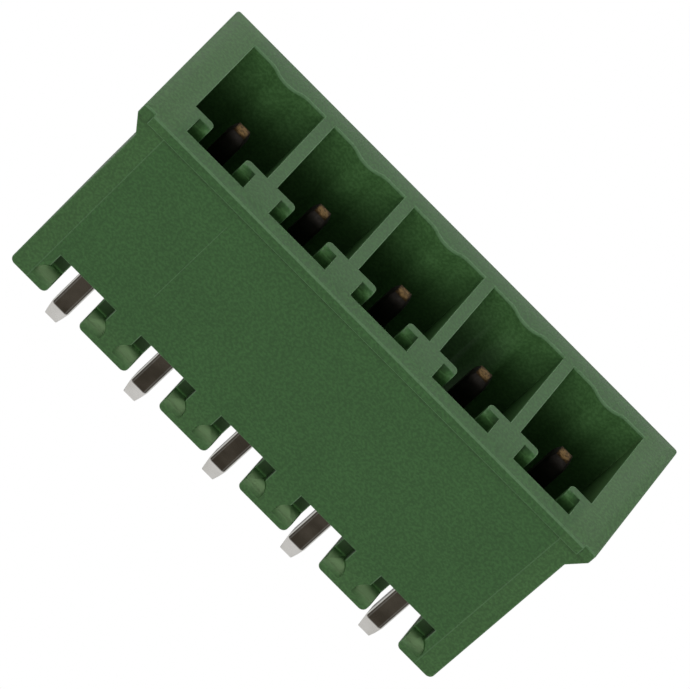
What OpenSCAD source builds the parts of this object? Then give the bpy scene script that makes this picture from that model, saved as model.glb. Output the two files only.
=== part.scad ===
// Upright board header of a pluggable terminal block, five positions, closed ends.
// Millimetres. X runs along the pin row, Z points away from the board, and the
// coding ribs are on the -Y side. The origin is the middle of the pin row, on the board.

/* [Row] */
// centre to centre distance of neighbouring pins
pitch = 5.08; // [4.9:0.01:7.62]

/* [Shroud] */
// height of the rim above the board
housing_height = 12; // [9:0.1:16]
// from the outer pin to the end face of the body
end_reach = 3.24; // [2.9:0.01:4.5]
// from the pin row to the front face of the body
front_reach = 4.02; // [3.95:0.01:6]
// from the pin row to the rear face of the body
rear_reach = 5.38; // [4.2:0.01:7]
// how far the collar stands proud of the front and rear faces
collar_proud = 0.15; // [0.05:0.01:0.4]
// height of the upright edge of the collar
collar_edge = 0.59; // [0.3:0.01:1.5]
// how far the end flanges stand out past the end faces
flange_proud = 0.64; // [0.1:0.01:1.5]
// height of the slope under each end flange
flange_slope = 1; // [0.3:0.05:2.5]
// width of the shallow bevel along the front and rear of the rim
rim_bevel = 0.7; // [0.2:0.01:0.75]
// width of the shallow bevel along the ends of the rim
rim_bevel_end = 0.64; // [0.2:0.01:1.2]
// how far the rim bevels fall
rim_fall = 0.16; // [0.05:0.01:0.3]
// radius of the upright rear corners of the flanges
rear_corner = 0.2; // [0.05:0.01:0.4]

/* [Cavities] */
// width of one cavity along the row
cavity_width = 4.44; // [4.2:0.01:4.8]
// thickness of the front wall
front_wall = 0.55; // [0.45:0.01:0.9]
// thickness of the rear wall
rear_wall = 1.12; // [0.8:0.01:1.8]
// thickness of the floor the pins stand in
floor_thickness = 1.3; // [0.8:0.05:3]

/* [Coding ribs] */
// width of the cross bar of a coding rib
bar_width = 3.05; // [2:0.05:3.2]
// thickness of the cross bar
bar_thickness = 0.7; // [0.4:0.01:0.9]
// radius of the two corners of the cross bar that face the pins
bar_radius = 0.26; // [0.1:0.01:0.34]
// radius of the lead-in along the top of the cross bar, on the slot side
lead_in = 0.3; // [0.1:0.01:0.34]
// width of the stem that joins the cross bar to the front wall
stem_width = 1.6; // [1:0.05:2]
// clear depth of the slot between the cross bar and the front wall
slot_depth = 1.03; // [0.7:0.01:1.1]

/* [Rear ribs] */
// width of the swelling on the rear wall of a cavity
swell_width = 2.35; // [1.6:0.05:3.2]
// height of the swelling
swell_height = 0.33; // [0.2:0.01:0.5]
// radius of the crest of the swelling
swell_crest = 1.4; // [0.3:0.05:1.4]

/* [Feet] */
// height of the feet under the floor
foot_height = 2.28; // [1.8:0.01:3]
// width of the gap between two feet
foot_gap = 2.1; // [1.5:0.05:2.5]
// radius of the lower corners of the feet
foot_corner = 0.3; // [0.05:0.01:0.4]
// width of the pocket beside each gap
pocket_width = 0.68; // [0.3:0.01:0.8]
// depth of the pocket behind the front face
pocket_depth = 1.15; // [1:0.01:1.5]
// radius of the domed niche at the bottom of the pocket
niche_radius = 1.1; // [0.85:0.01:1.14]
// height of the niche's flat bottom above the board
niche_floor = 0.62; // [0.5:0.01:0.64]
// radius of the rounded lip along the front of the niche
niche_lip = 0.22; // [0.1:0.01:0.3]

/* [Pins] */
// side of the square pin
pin_side = 1; // [0.8:0.01:1.2]
// flat on each long edge of the pin
pin_edge = 0.14; // [0.05:0.01:0.15]
// length of the solder end below the board face
solder_length = 3.9; // [2.5:0.1:5]
// length of the taper on the solder end
solder_taper = 0.9; // [0.2:0.05:1.2]
// width of the blunt face of the solder end
solder_tip = 0.7; // [0.4:0.01:0.75]
// how far the mating end stays below the rim
pin_sunk = 0.52; // [0.3:0.01:4]
// length of the taper on the mating end
mating_taper = 0.55; // [0.3:0.05:1.5]
// width of the blunt face of the mating end
mating_tip = 0.65; // [0.4:0.01:0.75]
// gap between a pin and each side of its hole
pin_clearance = 0; // [0:0.005:0.05]

/* [Hidden] */
NODES = ["housing", "pin_1", "pin_2", "pin_3", "pin_4", "pin_5"];

positions = len(NODES) - 1;
row_half = (positions - 1) * pitch / 2;
body_half = row_half + end_reach;
flange_half = body_half + flange_proud;
rim_low = housing_height - rim_fall;
collar_low = rim_low - collar_edge;
front_collar = front_reach + collar_proud;
rear_collar = rear_reach + collar_proud;
front_inner = front_reach - front_wall;
rear_inner = rear_reach - rear_wall;
floor_top = foot_height + floor_thickness;
bar_front = front_inner - slot_depth;
bar_rear = bar_front - bar_thickness;
swell_blend = (pow(swell_width / 2, 2) + pow(swell_height, 2)) / (2 * swell_height) - swell_crest;
swell_sum = swell_crest + swell_blend;
swell_join_x = swell_width / 2 * swell_crest / swell_sum;
swell_join_y = swell_blend * swell_height / swell_sum;
mating_top = housing_height - pin_sunk;
over = 0.5;

function pin_x(i) = i * pitch - row_half;

// extrudes an outline drawn in X and Z along Y, from y0 to y1
module along_y(y0, y1) {
    translate([0, y1, 0]) rotate([90, 0, 0]) linear_extrude(height = y1 - y0) children();
}

// extrudes an outline drawn in Y and Z along X, evenly about the middle
module along_x(half) {
    rotate([90, 0, 90]) translate([0, 0, -half]) linear_extrude(height = 2 * half) children();
}

// rounds one lower corner of a foot; side is 1 where the foot ends towards +X
module corner_round(x, side) {
    translate([x, 0]) mirror([side > 0 ? 1 : 0, 0]) difference() {
        translate([-over, -over]) square([foot_corner + over, foot_corner + over]);
        translate([foot_corner, foot_corner]) circle(r = foot_corner, $fn = 48);
        translate([foot_corner, -over]) square([foot_corner, foot_corner + over]);
    }
}

module front_view() {
    difference() {
        polygon([
            [-body_half, 0], [body_half, 0],
            [body_half, collar_low - flange_slope], [flange_half, collar_low],
            [flange_half, rim_low], [flange_half - rim_bevel_end, housing_height],
            [rim_bevel_end - flange_half, housing_height], [-flange_half, rim_low],
            [-flange_half, collar_low], [-body_half, collar_low - flange_slope]
        ]);
        for (i = [0:positions - 1]) translate([pin_x(i), 0]) {
            translate([-foot_gap / 2, -over]) square([foot_gap, foot_height + over]);
            corner_round(foot_gap / 2, -1);
            corner_round(-foot_gap / 2, 1);
        }
        corner_round(-body_half, -1);
        corner_round(body_half, 1);
    }
}

module side_view() {
    polygon([
        [-front_reach, -1], [rear_reach, -1], [rear_reach, collar_low],
        [rear_collar, collar_low], [rear_collar, rim_low],
        [rear_collar - rim_bevel, housing_height], [rim_bevel - front_collar, housing_height],
        [-front_collar, rim_low], [-front_collar, collar_low], [-front_reach, collar_low]
    ]);
}

// the flanges are set back flush with the front face of the body
module top_view() {
    translate([-body_half, -front_collar]) square([2 * body_half, front_collar]);
    translate([-flange_half, -front_reach])
        square([2 * flange_half, front_reach + rear_collar - rear_corner]);
    translate([rear_corner - flange_half, 0])
        square([2 * (flange_half - rear_corner), rear_collar]);
    for (sx = [-1, 1])
        translate([sx * (flange_half - rear_corner), rear_collar - rear_corner])
            circle(r = rear_corner, $fn = 48);
}

module outside() {
    intersection() {
        along_y(-front_collar - over, rear_collar + over) front_view();
        along_x(flange_half + over) side_view();
        translate([0, 0, -1]) linear_extrude(height = housing_height + 2) top_view();
    }
}

module coding_rib() {
    translate([-bar_width / 2, -bar_front])
        square([bar_width, bar_thickness - bar_radius]);
    translate([bar_radius - bar_width / 2, -bar_front])
        square([bar_width - 2 * bar_radius, bar_thickness]);
    for (sx = [-1, 1])
        translate([sx * (bar_width / 2 - bar_radius), -bar_rear - bar_radius])
            circle(r = bar_radius, $fn = 48);
    translate([-stem_width / 2, -front_inner - over])
        square([stem_width, slot_depth + bar_thickness / 2 + over]);
}

// what is cut off the slot side of a cross bar, beside the cavity on its -X side
module lead_in_cut() {
    wing = (bar_width - stem_width) / 2 + over;
    translate([-stem_width / 2 - wing / 2, 0, 0]) along_x(wing / 2) difference() {
        translate([-bar_front - over, housing_height - lead_in])
            square([lead_in + over, lead_in + over]);
        translate([lead_in - bar_front, housing_height - lead_in]) circle(r = lead_in, $fn = 48);
    }
}

module swelling() {
    intersection() {
        translate([0, rear_inner + swell_crest - swell_height]) circle(r = swell_crest, $fn = 96);
        translate([-swell_width, rear_inner - 2 * swell_height])
            square([2 * swell_width, 2 * swell_height + over]);
    }
    difference() {
        polygon([
            [-swell_width / 2, rear_inner + over], [-swell_width / 2, rear_inner],
            [-swell_join_x, rear_inner - swell_join_y], [swell_join_x, rear_inner - swell_join_y],
            [swell_width / 2, rear_inner], [swell_width / 2, rear_inner + over]
        ]);
        for (sx = [-1, 1])
            translate([sx * swell_width / 2, rear_inner - swell_blend])
                circle(r = swell_blend, $fn = 96);
    }
}

module cavity_plan() {
    difference() {
        for (i = [0:positions - 1])
            translate([pin_x(i) - cavity_width / 2, -front_inner])
                square([cavity_width, front_inner + rear_inner]);
        for (i = [0:positions]) translate([pin_x(i) - pitch / 2, 0]) coding_rib();
        for (i = [0:positions - 1]) translate([pin_x(i), 0]) swelling();
    }
}

// pocket and domed niche beside a gap, drawn for the foot on the +X side of the gap
module relief() {
    translate([-over, -over, niche_floor])
        cube([pocket_width + over, pocket_depth + over, foot_height - niche_floor]);
    intersection() {
        translate([0, 0, niche_floor]) sphere(r = niche_radius, $fn = 64);
        along_x(2 * niche_radius) {
            translate([-over, niche_floor]) square([2 * niche_radius + over, 2 * niche_radius]);
            difference() {
                translate([-over, niche_floor - niche_lip]) square([niche_lip + over, niche_lip]);
                translate([niche_lip, niche_floor - niche_lip]) circle(r = niche_lip, $fn = 48);
            }
        }
    }
}

module housing() {
    color([0.24, 0.47, 0.27]) difference() {
        outside();
        translate([0, 0, floor_top]) linear_extrude(height = housing_height) cavity_plan();
        for (i = [0:positions - 1]) {
            translate([pin_x(i), 0, floor_top / 2])
                cube([pin_side + 2 * pin_clearance, pin_side + 2 * pin_clearance,
                      floor_top + 1], center = true);
            for (sx = [0, 1]) translate([pin_x(i), 0, 0]) mirror([sx, 0, 0]) {
                translate([foot_gap / 2, -front_reach, 0]) relief();
                translate([pitch / 2, 0, 0]) lead_in_cut();
            }
        }
    }
}

module pin_side_view() {
    polygon([
        [-solder_tip / 2, -solder_length], [solder_tip / 2, -solder_length],
        [pin_side / 2, solder_taper - solder_length], [pin_side / 2, mating_top - mating_taper],
        [mating_tip / 2, mating_top], [-mating_tip / 2, mating_top],
        [-pin_side / 2, mating_top - mating_taper], [-pin_side / 2, solder_taper - solder_length]
    ]);
}

module pin(i) {
    e = pin_side / 2;
    c = pin_side / 2 - pin_edge;
    color([0.78, 0.77, 0.72]) translate([pin_x(i), 0, 0]) intersection() {
        along_y(-pin_side, pin_side) pin_side_view();
        along_x(pin_side) pin_side_view();
        translate([0, 0, -solder_length - 1])
            linear_extrude(height = solder_length + housing_height + 2)
                polygon([[-c, -e], [c, -e], [e, -c], [e, c], [c, e], [-c, e], [-e, c], [-e, -c]]);
    }
}

module pin_1() { pin(0); }
module pin_2() { pin(1); }
module pin_3() { pin(2); }
module pin_4() { pin(3); }
module pin_5() { pin(4); }

housing();
pin_1();
pin_2();
pin_3();
pin_4();
pin_5();
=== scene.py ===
import math
import bmesh
import bpy
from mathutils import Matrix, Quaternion, Vector


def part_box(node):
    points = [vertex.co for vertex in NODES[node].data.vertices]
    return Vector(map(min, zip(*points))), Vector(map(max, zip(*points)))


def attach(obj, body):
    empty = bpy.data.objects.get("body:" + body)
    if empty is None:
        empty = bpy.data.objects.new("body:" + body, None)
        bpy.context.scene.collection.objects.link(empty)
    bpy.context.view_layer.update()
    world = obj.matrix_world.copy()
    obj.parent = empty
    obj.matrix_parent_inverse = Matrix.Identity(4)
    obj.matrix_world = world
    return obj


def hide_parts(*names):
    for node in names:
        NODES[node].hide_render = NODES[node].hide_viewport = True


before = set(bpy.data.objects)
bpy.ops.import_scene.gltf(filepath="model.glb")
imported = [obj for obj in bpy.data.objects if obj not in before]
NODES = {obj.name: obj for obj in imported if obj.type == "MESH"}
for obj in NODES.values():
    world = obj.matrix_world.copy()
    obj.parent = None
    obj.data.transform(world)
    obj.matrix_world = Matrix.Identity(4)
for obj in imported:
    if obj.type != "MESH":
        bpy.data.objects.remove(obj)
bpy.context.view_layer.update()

MM = 0.001
PIN_NAMES = ["pin_1", "pin_2", "pin_3", "pin_4", "pin_5"]

low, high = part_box("housing")
RIM_Z = high[2]
COLLAR_FRONT = low[1]
COLLAR_REAR = high[1]
pin_low, pin_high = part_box("pin_3")
SOLDER_Z = pin_low[2]
MATING_Z = pin_high[2]
PIN_HALF = pin_high[0]

# Sizes of the moulding that the CAD nodes' boxes don't give.
COLLAR_PROUD = 0.15 * MM
BODY_FRONT = COLLAR_FRONT + COLLAR_PROUD
COLLAR_LOW = RIM_Z - 0.75 * MM
PITCH = (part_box("pin_5")[0][0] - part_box("pin_1")[0][0]) / 4
GAP_HALF = 1.05 * MM
FOOT_HEIGHT = 2.28 * MM
POCKET_SIDE = GAP_HALF + 0.68 * MM
NICHE_RADIUS = 1.1 * MM
NICHE_FLOOR = 0.62 * MM
NICHE_SIDE = GAP_HALF + NICHE_RADIUS
FRONT_WALL_FACE = BODY_FRONT + 0.55 * MM
REAR_WALL_FACE = COLLAR_REAR - COLLAR_PROUD - 1.12 * MM
CAVITY_END = 2 * PITCH + 2.22 * MM

# Where the paler ends start, how far edges are rounded, and how near counts as on a face.
SPLIT_LINE = 12.3 * MM
EDGE_RADIUS = 0.05 * MM
LEAD_IN = 0.12 * MM
PIN_EDGE_RADIUS = 0.03 * MM
ON_FACE = 0.01 * MM

# Greens of the moulding: its body, then the painted light on the niche lips, the painted shade in the deep
# pockets and the painted highlight on the rounded edges.
GREEN_DARK = (0.036, 0.110, 0.028)
GREEN_LIGHT = (0.045, 0.134, 0.035)
LIT_LIP_GREEN = (0.32, 0.52, 0.25)
POCKET_SHADE_GREEN = (0.020, 0.052, 0.014)
EDGE_HIGHLIGHT_GREEN = (0.095, 0.205, 0.085)

# Tin and copper on the pins: the tin faces painted dark as a painted reflection, painted highlights on the
# corners, and painted shade down the mating end.
TIN_DARK_REFLECTION = (0.062, 0.052, 0.038)
TIN_DARK_REFLECTION_LIGHT = (0.098, 0.083, 0.063)
TIN_HIGHLIGHT = (0.92, 0.92, 0.86)
TIP_LIGHT = (1.0, 0.98, 0.94)
TIP_DARK = (0.88, 0.86, 0.81)
MATING_SHADE = (0.018, 0.016, 0.014)
MATING_SHADE_LIGHT = (0.032, 0.028, 0.025)
COPPER_DARK = (0.055, 0.033, 0.012)
COPPER_LIGHT = (0.20, 0.128, 0.052)


# ---------------------------------------------------------------- node helpers

def new_group(name, inputs, outputs):
    """A shader node group with named sockets; returns the tree and its two ends."""
    tree = bpy.data.node_groups.new(name, "ShaderNodeTree")
    for label, kind, value in inputs:
        sock = tree.interface.new_socket(label, in_out="INPUT", socket_type=kind)
        if value is not None:
            sock.default_value = value
    for label, kind in outputs:
        tree.interface.new_socket(label, in_out="OUTPUT", socket_type=kind)
    return tree, tree.nodes.new("NodeGroupInput"), tree.nodes.new("NodeGroupOutput")


def math_node(tree, op, a, b=None, clamp=False):
    """A maths node on two sockets or numbers."""
    n = tree.nodes.new("ShaderNodeMath")
    n.operation = op
    n.use_clamp = clamp
    for i, v in enumerate((a, b)):
        if v is None:
            continue
        if isinstance(v, (int, float)):
            n.inputs[i].default_value = v
        else:
            tree.links.new(v, n.inputs[i])
    return n.outputs[0]


def ramp(tree, value, start, end, lo=0.0, hi=1.0):
    """Maps value from start..end to lo..hi, smooth and held at both ends."""
    n = tree.nodes.new("ShaderNodeMapRange")
    n.interpolation_type = "SMOOTHSTEP"
    tree.links.new(value, n.inputs["Value"])
    n.inputs["From Min"].default_value = start
    n.inputs["From Max"].default_value = end
    n.inputs["To Min"].default_value = lo
    n.inputs["To Max"].default_value = hi
    return n.outputs["Result"]


def mix_colour(tree, factor, a, b, blend="MIX"):
    """Mixes two colours, each a socket or three numbers."""
    n = tree.nodes.new("ShaderNodeMix")
    n.data_type = "RGBA"
    n.blend_type = blend
    for sock, v in ((n.inputs["Factor"], factor), (n.inputs[6], a), (n.inputs[7], b)):
        if isinstance(v, (int, float)):
            sock.default_value = v
        elif isinstance(v, (tuple, list)):
            sock.default_value = (*v, 1.0)
        else:
            tree.links.new(v, sock)
    return n.outputs[2]


def product(tree, first, *others):
    """Multiplies masks with one another."""
    for other in others:
        first = math_node(tree, "MULTIPLY", first, other)
    return first


def band(tree, value, rise, fall):
    """A mask that comes up over the first stretch and goes down over the second."""
    return product(tree, ramp(tree, value, *rise), ramp(tree, value, *fall))


def tinted(tree, colour, tint):
    """A colour multiplied by a tint."""
    return mix_colour(tree, 1.0, colour, tint, "MULTIPLY")


def place_in_row(tree, position):
    """Splits a position and gives the distance across from the nearest pin's axis too."""
    xyz = tree.nodes.new("ShaderNodeSeparateXYZ")
    tree.links.new(position, xyz.inputs[0])
    x, y, z = xyz.outputs
    wrapped = tree.nodes.new("ShaderNodeMath")
    wrapped.operation = "WRAP"
    tree.links.new(x, wrapped.inputs[0])
    wrapped.inputs[1].default_value = PITCH / 2
    wrapped.inputs[2].default_value = -PITCH / 2
    return math_node(tree, "ABSOLUTE", wrapped.outputs[0]), x, y, z


def make_speckle_group():
    """Fine grain and slow mottling, for the moulding and for the plated metal."""
    tree, gin, gout = new_group(
        "surface_speckle",
        [("Position", "NodeSocketVector", None), ("Grain Scale", "NodeSocketFloat", 6000.0),
         ("Mottle Scale", "NodeSocketFloat", 300.0)],
        [("Grain", "NodeSocketFloat"), ("Mottle", "NodeSocketFloat")])
    fine = tree.nodes.new("ShaderNodeTexNoise")
    slow = tree.nodes.new("ShaderNodeTexNoise")
    for n, label in ((fine, "Grain Scale"), (slow, "Mottle Scale")):
        tree.links.new(gin.outputs["Position"], n.inputs["Vector"])
        tree.links.new(gin.outputs[label], n.inputs["Scale"])
        n.inputs["Detail"].default_value = 3.0
    tree.links.new(fine.outputs["Fac"], gout.inputs["Grain"])
    tree.links.new(slow.outputs["Fac"], gout.inputs["Mottle"])
    return tree


def make_edge_group():
    """Mask of the rounded edges where the painted edge highlight goes, broken up by the grain, for the
    moulding and for the metal.
    """
    tree, gin, gout = new_group(
        "edge_line_mask",
        [("Grain", "NodeSocketFloat", 0.5), ("Strength", "NodeSocketFloat", 1.0)],
        [("Mask", "NodeSocketFloat")])
    line = tree.nodes.new("ShaderNodeAttribute")
    line.attribute_name = "edge_line"
    broken = ramp(tree, gin.outputs["Grain"], 0.2, 0.6, 0.55, 1.0)
    mask = math_node(tree, "MULTIPLY", line.outputs["Fac"], broken)
    tree.links.new(math_node(tree, "MULTIPLY", mask, gin.outputs["Strength"], clamp=True),
                   gout.inputs["Mask"])
    return tree


SPECKLE = make_speckle_group()
EDGE_LINES = make_edge_group()


def start_material(name, rough, metallic=0.0):
    """A new material with its tree, its principled shader and the object's own coordinates."""
    mat = bpy.data.materials.new(name)
    mat.use_nodes = True
    tree = mat.node_tree
    bsdf = tree.nodes["Principled BSDF"]
    bsdf.inputs["Roughness"].default_value = rough
    bsdf.inputs["Metallic"].default_value = metallic
    coords = tree.nodes.new("ShaderNodeTexCoord")
    return mat, tree, bsdf, coords.outputs["Object"]


def place_speckle(tree, position, grain, mottle):
    """Puts the shared speckle into a material, with how fine its grain and mottling are."""
    n = tree.nodes.new("ShaderNodeGroup")
    n.node_tree = SPECKLE
    tree.links.new(position, n.inputs["Position"])
    n.inputs["Grain Scale"].default_value = grain
    n.inputs["Mottle Scale"].default_value = mottle
    return n.outputs["Grain"], n.outputs["Mottle"]


def place_edge_lines(tree, grain, strength):
    """Puts the shared edge mask, for the painted edge highlight, into a material."""
    n = tree.nodes.new("ShaderNodeGroup")
    n.node_tree = EDGE_LINES
    tree.links.new(grain, n.inputs["Grain"])
    n.inputs["Strength"].default_value = strength
    return n.outputs["Mask"]


def add_bump(tree, bsdf, height, distance):
    """A shallow relief, at most as high as the distance."""
    bump = tree.nodes.new("ShaderNodeBump")
    bump.inputs["Distance"].default_value = distance
    bump.inputs["Strength"].default_value = 1.0
    tree.links.new(height, bump.inputs["Height"])
    tree.links.new(bump.outputs["Normal"], bsdf.inputs["Normal"])


def moulding_zones(tree, position):
    """Masks on the moulding: painted light on the niche lips, painted shade in the deep pockets, paler ends
    with painted light low on the feet, painted collar shade, and painted light on the cavities' insides.
    """
    across, x, y, z = place_in_row(tree, position)
    beside = math_node(tree, "ABSOLUTE", x)
    last_niche = 2 * PITCH + NICHE_SIDE
    # Painted light on the niche lips and floors beside each gap.
    lit_lip = product(
        tree,
        band(tree, z, (NICHE_FLOOR - 0.37 * MM, NICHE_FLOOR - 0.02 * MM),
             (NICHE_FLOOR + 0.10 * MM, NICHE_FLOOR + 0.02 * MM)),
        ramp(tree, across, NICHE_SIDE + 0.10 * MM, NICHE_SIDE - 0.20 * MM),
        ramp(tree, y, BODY_FRONT, BODY_FRONT + 0.3 * MM, 0.12, 1.0),
        ramp(tree, beside, last_niche + 0.29 * MM, last_niche + 0.19 * MM),
        ramp(tree, y, BODY_FRONT + NICHE_RADIUS, BODY_FRONT + 0.5 * MM))
    # Painted shade in the deep pockets above the niches.
    pocket_shade = product(
        tree,
        band(tree, z, (NICHE_FLOOR + 0.02 * MM, NICHE_FLOOR + 0.18 * MM),
             (FOOT_HEIGHT + 0.07 * MM, FOOT_HEIGHT + 0.02 * MM)),
        ramp(tree, across, POCKET_SIDE + 0.07 * MM, POCKET_SIDE + 0.03 * MM),
        band(tree, y, (BODY_FRONT + 0.02 * MM, BODY_FRONT + 0.3 * MM),
             (BODY_FRONT + 1.4 * MM, BODY_FRONT + 1.2 * MM)))
    # Paler towards the ends; painted light from below, growing towards the bottom of the feet.
    ends = ramp(tree, beside, SPLIT_LINE - 0.05 * MM, SPLIT_LINE + 0.05 * MM)
    feet = ramp(tree, z, FOOT_HEIGHT + 0.32 * MM, 0.4 * MM)
    shade = product(
        tree,
        band(tree, z, (COLLAR_LOW - 0.32 * MM, COLLAR_LOW - 0.12 * MM), (COLLAR_LOW + 0.01 * MM, COLLAR_LOW)),
        ramp(tree, y, BODY_FRONT + 0.2 * MM, BODY_FRONT + 0.1 * MM))
    # Painted light on the walls inside the cavities.
    inside = product(
        tree,
        band(tree, z, (FOOT_HEIGHT + 0.12 * MM, FOOT_HEIGHT + 0.62 * MM),
             (RIM_Z - 0.02 * MM, RIM_Z - 0.15 * MM)),
        ramp(tree, beside, CAVITY_END + 0.2 * MM, CAVITY_END + 0.1 * MM),
        band(tree, y, (FRONT_WALL_FACE - 0.1 * MM, FRONT_WALL_FACE - 0.02 * MM),
             (REAR_WALL_FACE + 0.1 * MM, REAR_WALL_FACE + 0.02 * MM)))
    return lit_lip, pocket_shade, math_node(tree, "MAXIMUM", ends, feet), shade, inside


def make_green_polyamide():
    """Matt green nylon: fine grain and slow mottling, with painted light on the niche lips, low on the feet
    and inside the cavities, painted shade in the pockets and under the collar, painted highlights on the
    edges, and paler ends.
    """
    mat, tree, bsdf, pos = start_material("green_polyamide", 0.46)
    grain, mottle = place_speckle(tree, pos, 7000.0, 420.0)
    lit_lip, pocket_shade, paler_ends_lit_feet, shade, inside = moulding_zones(tree, pos)
    base = mix_colour(tree, mottle, GREEN_DARK, GREEN_LIGHT)
    speckle = mix_colour(tree, ramp(tree, grain, 0.35, 0.7), (0.80, 0.82, 0.79), (1.22, 1.20, 1.23))
    base = tinted(tree, base, speckle)
    # Paler ends, and painted light low on the feet.
    base = mix_colour(tree, paler_ends_lit_feet, base, tinted(tree, base, (1.24, 1.11, 1.18)))
    # Painted light on the niche lips.
    base = mix_colour(tree, lit_lip, base, LIT_LIP_GREEN)
    # Painted shade in the pockets.
    base = mix_colour(tree, pocket_shade, base, POCKET_SHADE_GREEN)
    base = mix_colour(tree, shade, base, tinted(tree, base, (0.78, 0.78, 0.74)))
    # Painted light inside the cavities.
    base = mix_colour(tree, inside, base, tinted(tree, base, (1.55, 1.30, 1.50)))
    # Painted highlight on the rounded edges.
    base = mix_colour(tree, place_edge_lines(tree, grain, 1.0), base, EDGE_HIGHLIGHT_GREEN)
    tree.links.new(base, bsdf.inputs["Base Color"])
    tree.links.new(ramp(tree, grain, 0.2, 0.8, 0.40, 0.52), bsdf.inputs["Roughness"])
    bsdf.inputs["Specular IOR Level"].default_value = 0.35
    add_bump(tree, bsdf, grain, 0.004 * MM)
    return mat


def pin_zones(tree, position):
    """Masks on a pin: corners for the painted highlight, tapered solder tip, mating end for the painted
    shade, sheared top, and the radius.
    """
    across, x, y, z = place_in_row(tree, position)
    deep = math_node(tree, "ABSOLUTE", y)
    corner_highlight = product(
        tree,
        ramp(tree, across, PIN_HALF - 0.07 * MM, PIN_HALF - 0.04 * MM),
        ramp(tree, deep, PIN_HALF - 0.20 * MM, PIN_HALF - 0.14 * MM))
    tip = ramp(tree, z, SOLDER_Z + 0.95 * MM, SOLDER_Z + 0.85 * MM)
    below_floor = ramp(tree, z, 3.0 * MM, 2.0 * MM)
    mating = ramp(tree, z, 3.0 * MM, 5.0 * MM)
    sheared = ramp(tree, z, MATING_Z - 0.05 * MM, MATING_Z - 0.02 * MM)
    squares = [math_node(tree, "MULTIPLY", side, side) for side in (across, y)]
    radius = math_node(tree, "SQRT", math_node(tree, "ADD", *squares))
    return corner_highlight, tip, below_floor, mating, sheared, radius


def make_tinned_pin():
    """Tin painted dark on its faces as a painted reflection, with painted highlights on its corners, near
    white at the solder tip and painted shade down the mating end; the sheared top shows copper, with painted
    shade towards its rim.
    """
    mat, tree, bsdf, pos = start_material("tinned_pin", 0.3, 1.0)
    grain, mottle = place_speckle(tree, pos, 9000.0, 900.0)
    corner_highlight, tip, below_floor, mating, sheared, radius = pin_zones(tree, pos)
    streak = ramp(tree, mottle, 0.3, 0.7)
    # Painted highlight on the corners and rounded edges below the floor; the faces are painted dark as a
    # painted reflection.
    painted_highlight = math_node(tree, "MAXIMUM", corner_highlight, place_edge_lines(tree, grain, 0.12))
    face = mix_colour(tree, streak, TIN_DARK_REFLECTION, TIN_DARK_REFLECTION_LIGHT)
    face = mix_colour(tree, product(tree, painted_highlight, below_floor), face, TIN_HIGHLIGHT)
    face = mix_colour(tree, tip, face, mix_colour(tree, streak, TIP_LIGHT, TIP_DARK))
    # Painted shade down the mating end inside the cavity.
    face = mix_colour(tree, mating, face, mix_colour(tree, streak, MATING_SHADE, MATING_SHADE_LIGHT))
    copper = mix_colour(tree, ramp(tree, grain, 0.3, 0.7), COPPER_DARK, COPPER_LIGHT)
    # Painted shade: the copper is darkened to a quarter towards the rim of the sheared top.
    middle = ramp(tree, radius, 0.36 * MM, 0.20 * MM)
    copper = mix_colour(tree, middle, tinted(tree, copper, (0.25, 0.25, 0.25)), copper)
    tree.links.new(mix_colour(tree, sheared, face, copper), bsdf.inputs["Base Color"])
    rough = math_node(tree, "ADD", ramp(tree, grain, 0.2, 0.8, 0.24, 0.40),
                      math_node(tree, "MULTIPLY", mating, 0.3))
    tree.links.new(rough, bsdf.inputs["Roughness"])
    add_bump(tree, bsdf, mottle, 0.01 * MM)
    return mat


def make_backdrop_paper():
    """Pale paper with a glow of its own: white to the camera, softer in what it casts and mirrors."""
    mat, tree, bsdf, pos = start_material("backdrop_paper", 0.9)
    clouds = tree.nodes.new("ShaderNodeTexNoise")
    tree.links.new(pos, clouds.inputs["Vector"])
    clouds.inputs["Scale"].default_value = 6.0
    clouds.inputs["Detail"].default_value = 2.0
    clouds.inputs["Roughness"].default_value = 0.5
    paper = mix_colour(tree, clouds.outputs["Fac"], (0.18, 0.18, 0.18), (0.22, 0.22, 0.22))
    tree.links.new(paper, bsdf.inputs["Base Color"])
    bsdf.inputs["Specular IOR Level"].default_value = 0.0
    bsdf.inputs["Emission Color"].default_value = (1.0, 1.0, 1.0, 1.0)
    bsdf.inputs["Emission Strength"].default_value = 0.31
    path = tree.nodes.new("ShaderNodeLightPath")
    shader = bsdf.outputs[0]
    for ray, strength in (("Is Glossy Ray", 0.55), ("Is Camera Ray", 1.0)):
        glow = tree.nodes.new("ShaderNodeEmission")
        glow.inputs["Strength"].default_value = strength
        blend = tree.nodes.new("ShaderNodeMixShader")
        tree.links.new(path.outputs[ray], blend.inputs[0])
        tree.links.new(shader, blend.inputs[1])
        tree.links.new(glow.outputs[0], blend.inputs[2])
        shader = blend.outputs[0]
    tree.links.new(shader, tree.nodes["Material Output"].inputs["Surface"])
    return mat


GREEN = make_green_polyamide()
TINNED = make_tinned_pin()
PAPER = make_backdrop_paper()


# ---------------------------------------------------------------- pieces

def on_niche(point):
    """True on the domed niches cut into the feet beside each gap."""
    for i in range(5):
        for side in (-1, 1):
            middle = Vector(((i - 2) * PITCH + side * GAP_HALF, BODY_FRONT, NICHE_FLOOR))
            if abs((point - middle).length - NICHE_RADIUS) < 0.004 * MM:
                return True
    return False


def on_rear_mouth(point):
    """True along the rear edge of a cavity's mouth, where the plug is led in."""
    on_wall = REAR_WALL_FACE - 0.4 * MM < point.y < REAR_WALL_FACE + ON_FACE
    return on_wall and point.z > RIM_Z - ON_FACE


def on_front_collar(point):
    """True on the edge between the front collar's bevel and its band."""
    return point.y < BODY_FRONT + ON_FACE and COLLAR_LOW + 0.1 * MM < point.z < RIM_Z - 0.1 * MM


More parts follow.
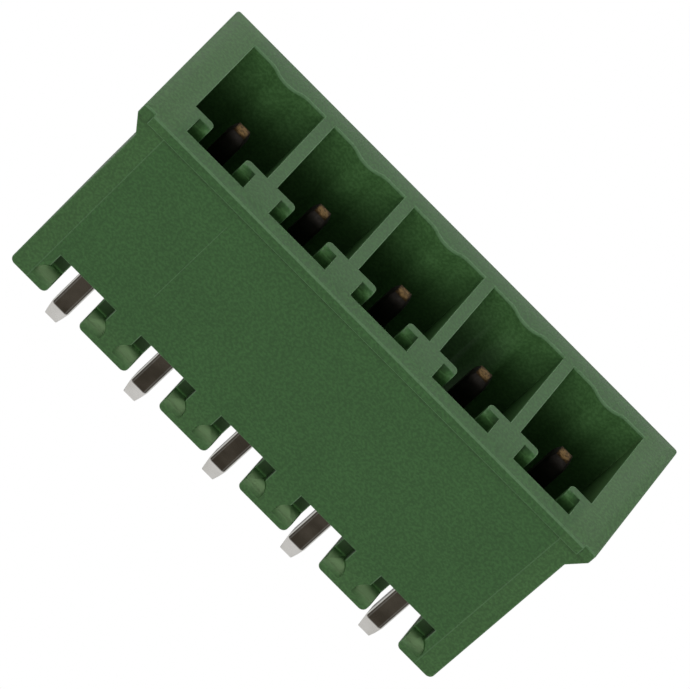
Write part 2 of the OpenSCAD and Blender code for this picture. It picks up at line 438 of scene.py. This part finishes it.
def mark_sharp_edges(mesh, fine):
    """Merges a copied CAD mesh and weighs its sharp edges for the bevel that rounds them."""
    bm = bmesh.new()
    bm.from_mesh(mesh)
    bmesh.ops.remove_doubles(bm, verts=bm.verts, dist=0.0005 * MM)
    bmesh.ops.dissolve_limit(bm, angle_limit=math.radians(0.4), verts=bm.verts, edges=bm.edges)
    weight = bm.edges.layers.float.new("bevel_weight_edge")
    for edge in bm.edges:
        ends = [v.co for v in edge.verts]
        sharp = edge.calc_face_angle(0.0) > math.radians(30)
        if not sharp or not edge.is_convex or all(on_niche(p) for p in ends):
            continue
        along_row = abs(ends[0].x - ends[1].x) > 0.5 * abs(ends[0].y - ends[1].y)
        edge[weight] = fine
        if along_row and all(on_rear_mouth(p) for p in ends):
            edge[weight] = 1.0
        elif along_row and all(on_front_collar(p) for p in ends):
            edge[weight] = 0.65
    bm.to_mesh(mesh)
    bm.free()


def keep_edge_lines(mesh):
    """Turns the slot that the bevel gave its faces into the edge_line attribute, which places the painted
    edge highlight.
    """
    line = mesh.attributes.new("edge_line", "FLOAT", "FACE")
    for face, mark in zip(mesh.polygons, line.data):
        mark.value = float(face.material_index)
        face.material_index = 0
    mesh.materials.pop()


def keep_in_box(mesh, lowest, highest):
    """Holds the rounded corners inside the CAD node's own box."""
    for vertex in mesh.vertices:
        vertex.co = [min(max(c, a), b) for c, a, b in zip(vertex.co, lowest, highest)]


def rounded_copy(node, name, width, fine, material, segments=2):
    """A copy of a CAD node with rounded edges that catch the light as moulded or plated edges do, their
    rounding faces marked for the painted edge highlight.
    """
    mesh = NODES[node].data.copy()
    mesh.name = name
    mark_sharp_edges(mesh, fine)
    mesh.materials.clear()
    mesh.materials.append(material)
    mesh.materials.append(material)
    piece = bpy.data.objects.new(name, mesh)
    bpy.context.scene.collection.objects.link(piece)
    bevel = piece.modifiers.new("edge_rounding", "BEVEL")
    bevel.width = width
    bevel.segments = segments
    bevel.limit_method = "WEIGHT"
    bevel.use_clamp_overlap = False
    bevel.material = 1
    bpy.context.view_layer.objects.active = piece
    piece.select_set(True)
    bpy.ops.object.modifier_apply(modifier=bevel.name)
    keep_edge_lines(piece.data)
    keep_in_box(piece.data, *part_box(node))
    bpy.ops.object.shade_smooth_by_angle(angle=math.radians(35))
    weighted = piece.modifiers.new("flat_faces_first", "WEIGHTED_NORMAL")
    weighted.keep_sharp = True
    bpy.ops.object.modifier_apply(modifier=weighted.name)
    piece.select_set(False)
    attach(piece, "root")
    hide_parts(node)
    return piece


rounded_copy("housing", "shroud", LEAD_IN, EDGE_RADIUS / LEAD_IN, GREEN)
for pin_name in PIN_NAMES:
    rounded_copy(pin_name, "contact_" + pin_name[-1], PIN_EDGE_RADIUS, 1.0, TINNED, 1)


def make_ridge_tree():
    """Geometry nodes that hang a fine ridge from each point, as long as the point's reach."""
    tree = bpy.data.node_groups.new("parting_ridges", "GeometryNodeTree")
    sockets = tree.interface
    sockets.new_socket("Points", in_out="INPUT", socket_type="NodeSocketGeometry")
    radius = sockets.new_socket("Ridge Radius", in_out="INPUT", socket_type="NodeSocketFloat")
    finish = sockets.new_socket("Finish", in_out="INPUT", socket_type="NodeSocketMaterial")
    sockets.new_socket("Ridges", in_out="OUTPUT", socket_type="NodeSocketGeometry")
    add = tree.nodes.new
    link = tree.links.new
    gin = add("NodeGroupInput")
    gout = add("NodeGroupOutput")
    line = add("GeometryNodeCurvePrimitiveLine")
    line.inputs["End"].default_value = (0.0, 0.0, -1.0)
    ring = add("GeometryNodeCurvePrimitiveCircle")
    ring.inputs["Resolution"].default_value = 10
    link(gin.outputs["Ridge Radius"], ring.inputs["Radius"])
    sweep = add("GeometryNodeCurveToMesh")
    sweep.inputs["Fill Caps"].default_value = True
    link(line.outputs["Curve"], sweep.inputs["Curve"])
    link(ring.outputs["Curve"], sweep.inputs["Profile Curve"])
    hang = add("GeometryNodeInstanceOnPoints")
    link(gin.outputs["Points"], hang.inputs["Points"])
    link(sweep.outputs["Mesh"], hang.inputs["Instance"])
    for name, target, parts in (("reach", "Scale", (1.0, 1.0, None)), ("lean", "Rotation", (0.0, None, 0.0))):
        value = add("GeometryNodeInputNamedAttribute")
        value.data_type = "FLOAT"
        value.inputs["Name"].default_value = name
        joined = add("ShaderNodeCombineXYZ")
        for sock, part in zip(joined.inputs, parts):
            if part is None:
                link(value.outputs["Attribute"], sock)
            else:
                sock.default_value = part
        link(joined.outputs[0], hang.inputs[target])
    real = add("GeometryNodeRealizeInstances")
    link(hang.outputs["Instances"], real.inputs["Geometry"])
    dress = add("GeometryNodeSetMaterial")
    link(real.outputs["Geometry"], dress.inputs["Geometry"])
    link(gin.outputs["Finish"], dress.inputs["Material"])
    link(dress.outputs["Geometry"], gout.inputs["Ridges"])
    return tree, radius.identifier, finish.identifier


def make_mould_lines():
    """Witness lines that the mould's parts leave down the front face."""
    # Place along the row, top, foot, drift of the foot, and depth sunk, in millimetres.
    ridges = ((-12.35, 11.24, 0.08, -0.02, 0.014),
              (12.37, 11.24, 0.08, 0.0, 0.014),
              (-7.67, 10.20, 4.40, 0.0, 0.032))
    tops = [(x * MM, BODY_FRONT + sunk * MM, top * MM) for x, top, foot, drift, sunk in ridges]
    mesh = bpy.data.meshes.new("mould_lines")
    mesh.from_pydata(tops, [], [])
    reach = mesh.attributes.new("reach", "FLOAT", "POINT")
    lean = mesh.attributes.new("lean", "FLOAT", "POINT")
    for i, (x, top, foot, drift, sunk) in enumerate(ridges):
        reach.data[i].value = (top - foot) * MM
        lean.data[i].value = math.atan2(drift, top - foot)
    lines = bpy.data.objects.new("mould_lines", mesh)
    bpy.context.scene.collection.objects.link(lines)
    tree, radius, finish = make_ridge_tree()
    hang = lines.modifiers.new("ridges", "NODES")
    hang.node_group = tree
    hang[radius] = 0.04 * MM
    hang[finish] = GREEN
    made = lines.evaluated_get(bpy.context.evaluated_depsgraph_get())
    solid = bpy.data.meshes.new_from_object(made)
    lines.modifiers.clear()
    lines.data = solid
    # Painted highlight: the ridges get the edge highlight colour at 0.6 strength.
    glint = solid.attributes.new("edge_line", "FLOAT", "FACE")
    for mark in glint.data:
        mark.value = 0.6
    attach(lines, "root")


make_mould_lines()


# ---------------------------------------------------------------- stage, lights, camera

def make_floor():
    """The plain floor, just below the solder tips."""
    mesh = bpy.data.meshes.new("floor")
    r = 0.6
    z = SOLDER_Z - 0.02 * MM
    mesh.from_pydata([(-r, -r, z), (r, -r, z), (r, r, z), (-r, r, z)], [], [(0, 1, 2, 3)])
    mesh.materials.append(PAPER)
    floor = bpy.data.objects.new("floor", mesh)
    bpy.context.scene.collection.objects.link(floor)


def add_area(name, place, aim, size, power):
    """A soft rectangular lamp that faces the aim."""
    data = bpy.data.lights.new(name, "AREA")
    data.shape = "RECTANGLE"
    data.size, data.size_y = size
    data.energy = power
    lamp = bpy.data.objects.new(name, data)
    bpy.context.scene.collection.objects.link(lamp)
    lamp.location = place
    lamp.rotation_euler = (Vector(aim) - Vector(place)).to_track_quat("-Z", "Y").to_euler()


make_floor()
add_area("rear_softbox", (0.0, 0.85, 0.40), (0, 0, 0), (1.2, 0.35), 2.5)
add_area("top_softbox", (0.0, 0.25, 0.80), (0, 0, 0), (0.6, 0.3), 1.8)
add_area("front_softbox", (0.0, -0.62, 0.25), (0, 0, 0.006), (0.8, 0.2), 1.8)

world = bpy.data.worlds.new("studio")
bpy.context.scene.world = world
world.use_nodes = True
world.node_tree.nodes["Background"].inputs["Color"].default_value = (1.0, 1.0, 1.0, 1.0)
world.node_tree.nodes["Background"].inputs["Strength"].default_value = 0.31
bpy.context.scene.view_settings.view_transform = "Standard"

CAMERA_PLACE = Vector((-14.98, -227.13, 191.13)) * MM
CAMERA_AIM = Vector((-0.048, 0.494, 6.606)) * MM
CAMERA_ROLL = math.radians(47.45)

lens = bpy.data.cameras.new("camera")
lens.lens = 340.8
lens.sensor_width = 36.0
lens.clip_start = 0.01
lens.clip_end = 5.0
camera = bpy.data.objects.new("camera", lens)
bpy.context.scene.collection.objects.link(camera)
camera.location = CAMERA_PLACE
look = (CAMERA_AIM - CAMERA_PLACE).to_track_quat("-Z", "Y")
camera.rotation_mode = "QUATERNION"
camera.rotation_quaternion = look @ Quaternion((0, 0, 1), CAMERA_ROLL)
bpy.context.scene.camera = camera
